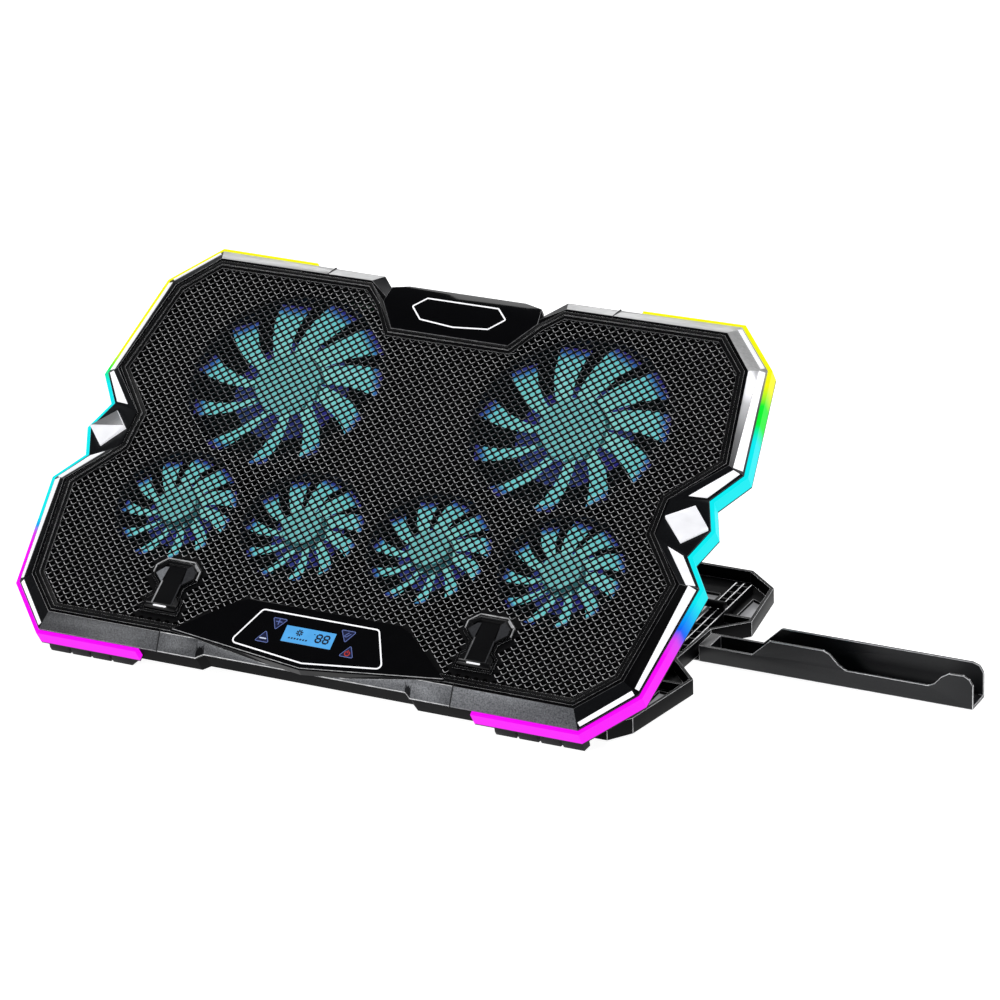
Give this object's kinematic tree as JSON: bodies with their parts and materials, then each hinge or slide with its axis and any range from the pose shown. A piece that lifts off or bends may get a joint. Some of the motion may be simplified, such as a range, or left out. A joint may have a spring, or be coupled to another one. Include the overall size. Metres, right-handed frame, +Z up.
{
  "type": "laptop cooling pad",
  "caption": "Tilting laptop cooling pad: perforated fan panel with light strips and control console, flip-up stops, notched stand and swivelling phone tray.",
  "frame": {"origin": "On the desk, at the middle of the underside of the stand frame's centre pad; the stand's pads and the panel's front feet rest on z = 0.", "axes": "+X to the user's right along the tilt hinge, +Y to the back, +Z up. The panel rises to the back at 33 degrees."},
  "size_m": [0.5862, 0.259, 0.1774],
  "materials": {
    "board_green": "circuit board",
    "chrome": "bright plating",
    "fan_clear": "translucent blade",
    "gloss_black": "piano black",
    "key_blue": "lit touch mark",
    "lcd_blue": "lit display",
    "led": "light tape",
    "light_diffuser": "translucent, lit from behind",
    "mesh_steel": "black coated steel sheet",
    "print_white": "printed line",
    "rubber_black": "soft rubber",
    "shell_black": "fine matte texture",
    "stand_black": "satin moulding",
    "steel": "bare steel",
    "tray_grey": "satin charcoal moulding",
    "trim_grey": "dark metallic paint"
  },
  "bodies": {
    "stand": {"stand_frame": "stand_black", "ladder_rail_left": "steel", "ladder_rail_right": "steel", "stand_pads": "rubber_black", "hinge_pins": "steel", "tray_pin": "steel"},
    "panel": {"trim_left": "trim_grey", "trim_right": "trim_grey", "trim_front": "trim_grey", "trim_rear_left": "trim_grey", "trim_rear_right": "trim_grey", "chrome_inlays_right": "chrome", "chrome_inlays_left": "chrome", "diamond_right": "chrome", "diamond_left": "chrome", "bottom_shell": "shell_black", "light_strip_left": "light_diffuser", "light_strip_right": "light_diffuser", "led_tape_left": "led", "led_tape_right": "led", "stop_cradle_left": "shell_black", "stop_cradle_right": "shell_black", "stop_pin_left": "steel", "stop_pin_right": "steel", "mesh_grille": "mesh_steel", "mesh_gasket": "rubber_black", "nameplate": "gloss_black", "nameplate_outline": "print_white", "console_cover": "gloss_black", "console_outline": "print_white", "lcd_window": "lcd_blue", "key_marks": "key_blue", "control_board": "board_green", "board_posts": "shell_black", "usb_sockets": "steel", "usb_board": "board_green", "fan_shrouds": "shell_black", "front_foot_left": "rubber_black", "front_foot_right": "rubber_black", "prop_pins": "steel", "case_screws": "steel", "fan_stator_large_left": "shell_black", "fan_stator_large_right": "shell_black", "fan_stator_small_1": "shell_black", "fan_stator_small_2": "shell_black", "fan_stator_small_3": "shell_black", "fan_stator_small_4": "shell_black"},
    "prop": {"prop_yoke": "stand_black"},
    "phone_tray": {"phone_tray": "tray_grey", "tray_liner": "rubber_black", "tray_pad": "rubber_black"},
    "stop_left": {"stop_left": "shell_black"},
    "stop_right": {"stop_right": "shell_black"},
    "rotor_large_left": {"fan_rotor_large_left": "fan_clear"},
    "rotor_large_right": {"fan_rotor_large_right": "fan_clear"},
    "rotor_small_1": {"fan_rotor_small_1": "fan_clear"},
    "rotor_small_2": {"fan_rotor_small_2": "fan_clear"},
    "rotor_small_3": {"fan_rotor_small_3": "fan_clear"},
    "rotor_small_4": {"fan_rotor_small_4": "fan_clear"}
  },
  "joints": [
    {"name": "panel_tilt", "type": "hinge", "parent": "stand", "child": "panel", "pos_m": [0, -0.108, 0.007], "axis": [1, 0, 0], "range_deg": [-29, 0]},
    {"name": "prop_swing", "type": "hinge", "parent": "panel", "child": "prop", "pos_m": [0, -0.02528, 0.07058], "axis": [1, 0, 0], "range_deg": [0, 58]},
    {"name": "tray_swivel", "type": "hinge", "parent": "stand", "child": "phone_tray", "pos_m": [0.206, 0.0117, 0], "axis": [0, 0, 1], "range_deg": [-40, 50]},
    {"name": "stop_left_flip", "type": "hinge", "parent": "panel", "child": "stop_left", "pos_m": [-0.105, -0.12106, 0.03735], "axis": [1, 0, 0], "range_deg": [0, 90]},
    {"name": "stop_right_flip", "type": "hinge", "parent": "panel", "child": "stop_right", "pos_m": [0.105, -0.12106, 0.03735], "axis": [1, 0, 0], "range_deg": [0, 90]},
    {"name": "fan_spin_large_left", "type": "hinge", "parent": "panel", "child": "rotor_large_left", "pos_m": [-0.097, 0.02954, 0.12859], "axis": [0, -0.5446, 0.8387], "continuous": true},
    {"name": "fan_spin_large_right", "type": "hinge", "parent": "panel", "child": "rotor_large_right", "pos_m": [0.097, 0.02954, 0.12859], "axis": [0, -0.5446, 0.8387], "continuous": true},
    {"name": "fan_spin_small_1", "type": "hinge", "parent": "panel", "child": "rotor_small_1", "pos_m": [-0.13, -0.05517, 0.07358], "axis": [0, -0.5446, 0.8387], "continuous": true},
    {"name": "fan_spin_small_2", "type": "hinge", "parent": "panel", "child": "rotor_small_2", "pos_m": [-0.043, -0.05517, 0.07358], "axis": [0, -0.5446, 0.8387], "continuous": true},
    {"name": "fan_spin_small_3", "type": "hinge", "parent": "panel", "child": "rotor_small_3", "pos_m": [0.043, -0.05517, 0.07358], "axis": [0, -0.5446, 0.8387], "continuous": true},
    {"name": "fan_spin_small_4", "type": "hinge", "parent": "panel", "child": "rotor_small_4", "pos_m": [0.13, -0.05517, 0.07358], "axis": [0, -0.5446, 0.8387], "continuous": true}
  ],
  "couplings": [
    {"joint": "prop_swing", "follows": "panel_tilt", "ratio": -2}
  ]
}
